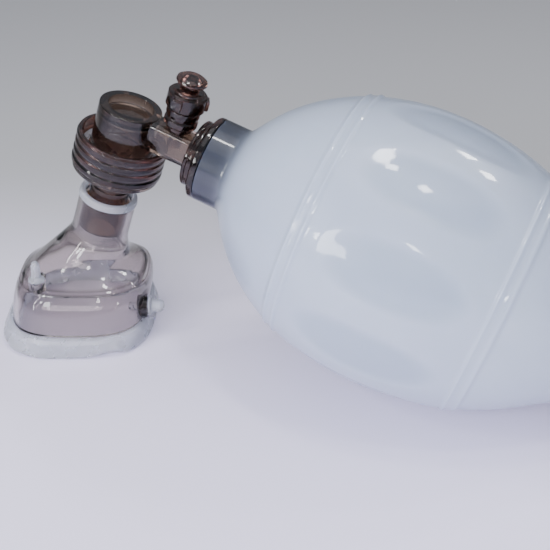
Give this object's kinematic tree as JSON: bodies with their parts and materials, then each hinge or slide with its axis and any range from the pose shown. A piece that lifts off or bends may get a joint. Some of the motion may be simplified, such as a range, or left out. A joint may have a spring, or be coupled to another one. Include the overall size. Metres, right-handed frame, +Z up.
{
  "type": "bag valve mask",
  "caption": "Self-inflating silicone resuscitation bag with a non-return patient valve, a pressure relief valve and a face mask, lying on a table.",
  "frame": {"origin": "on the table plane, under the centre of the object's box", "axes": "+Z up from the table, +X from the mask towards the rear intake, +Y away from the side with the mask's short plug. The bag's axis slopes 18 degrees down towards +X, and the mask is turned 20 degrees about +Z."},
  "size_m": [0.3482, 0.129, 0.1402],
  "materials": {
    "bag_silicone": "satin translucent silicone",
    "soft_silicone": "satin translucent silicone",
    "shell_plastic": "polished, smoke clear",
    "smoke_plastic": "polished, dark smoke",
    "clear_plastic": "polished, smoke clear",
    "amber_plastic": "polished, brown clear",
    "spring_steel": "drawn wire"
  },
  "bodies": {
    "bag": {"squeeze_bag": "bag_silicone", "neck_flange": "smoke_plastic", "neck_nut": "smoke_plastic", "neck_seal": "soft_silicone"},
    "intake": {"intake_flange": "smoke_plastic", "intake_seat": "clear_plastic", "disc_button": "soft_silicone", "intake_cover": "clear_plastic", "oxygen_nipple": "clear_plastic"},
    "intake_flap": {"intake_disc": "soft_silicone"},
    "valve": {"valve_housing": "clear_plastic", "valve_drum": "smoke_plastic", "valve_base_ring": "clear_plastic", "valve_seat_ring": "clear_plastic", "duckbill_valve": "soft_silicone", "relief_seat": "clear_plastic", "relief_body": "smoke_plastic", "relief_spring": "spring_steel"},
    "exhale_flap": {"exhale_disc": "soft_silicone"},
    "connector": {"patient_connector": "amber_plastic", "connector_o_ring": "soft_silicone"},
    "mask": {"mask_shell": "shell_plastic", "mask_cuff": "soft_silicone", "port_plug_left": "soft_silicone", "port_plug_right": "soft_silicone", "collar_ring": "soft_silicone"},
    "poppet": {"relief_poppet": "smoke_plastic", "relief_seal": "soft_silicone"},
    "lock_ring": {"relief_lock_ring": "smoke_plastic"},
    "cap": {"relief_cap": "smoke_plastic"}
  },
  "joints": [
    {"name": "valve_swivel", "type": "hinge", "parent": "bag", "child": "valve", "pos_m": [-0.09827, 0, 0.11324], "axis": [0.9511, 0, -0.309], "continuous": true},
    {"name": "connector_swivel", "type": "hinge", "parent": "valve", "child": "connector", "pos_m": [-0.09827, 0, 0.11324], "axis": [0.309, 0, 0.9511], "continuous": true},
    {"name": "mask_swivel", "type": "hinge", "parent": "connector", "child": "mask", "pos_m": [-0.11063, 0, 0.0752], "axis": [0.309, 0, 0.9511], "continuous": true},
    {"name": "exhale_flap_lift", "type": "slide", "parent": "valve", "child": "exhale_flap", "axis": [0.309, 0, 0.9511], "range_m": [0, 0.0015]},
    {"name": "relief_poppet_lift", "type": "slide", "parent": "valve", "child": "poppet", "axis": [0.309, 0, 0.9511], "range_m": [0, 0.0025], "stiffness_N_per_m": 100, "springref_m": -0.001, "deforming": ["relief_spring"]},
    {"name": "relief_lock_turn", "type": "hinge", "parent": "valve", "child": "lock_ring", "pos_m": [-0.0667, 0, 0.12948], "axis": [0.309, 0, 0.9511], "range_deg": [0, 90]},
    {"name": "relief_cap_press", "type": "slide", "parent": "valve", "child": "cap", "axis": [-0.309, 0, -0.9511], "range_m": [0, 0.003], "stiffness_N_per_m": 600, "springref_m": -0.001},
    {"name": "intake_swivel", "type": "hinge", "parent": "bag", "child": "intake", "pos_m": [0.12999, 0, 0.03908], "axis": [0.9511, 0, -0.309], "continuous": true},
    {"name": "intake_flap_lift", "type": "slide", "parent": "intake", "child": "intake_flap", "axis": [-0.9511, 0, 0.309], "range_m": [0, 0.002]}
  ]
}
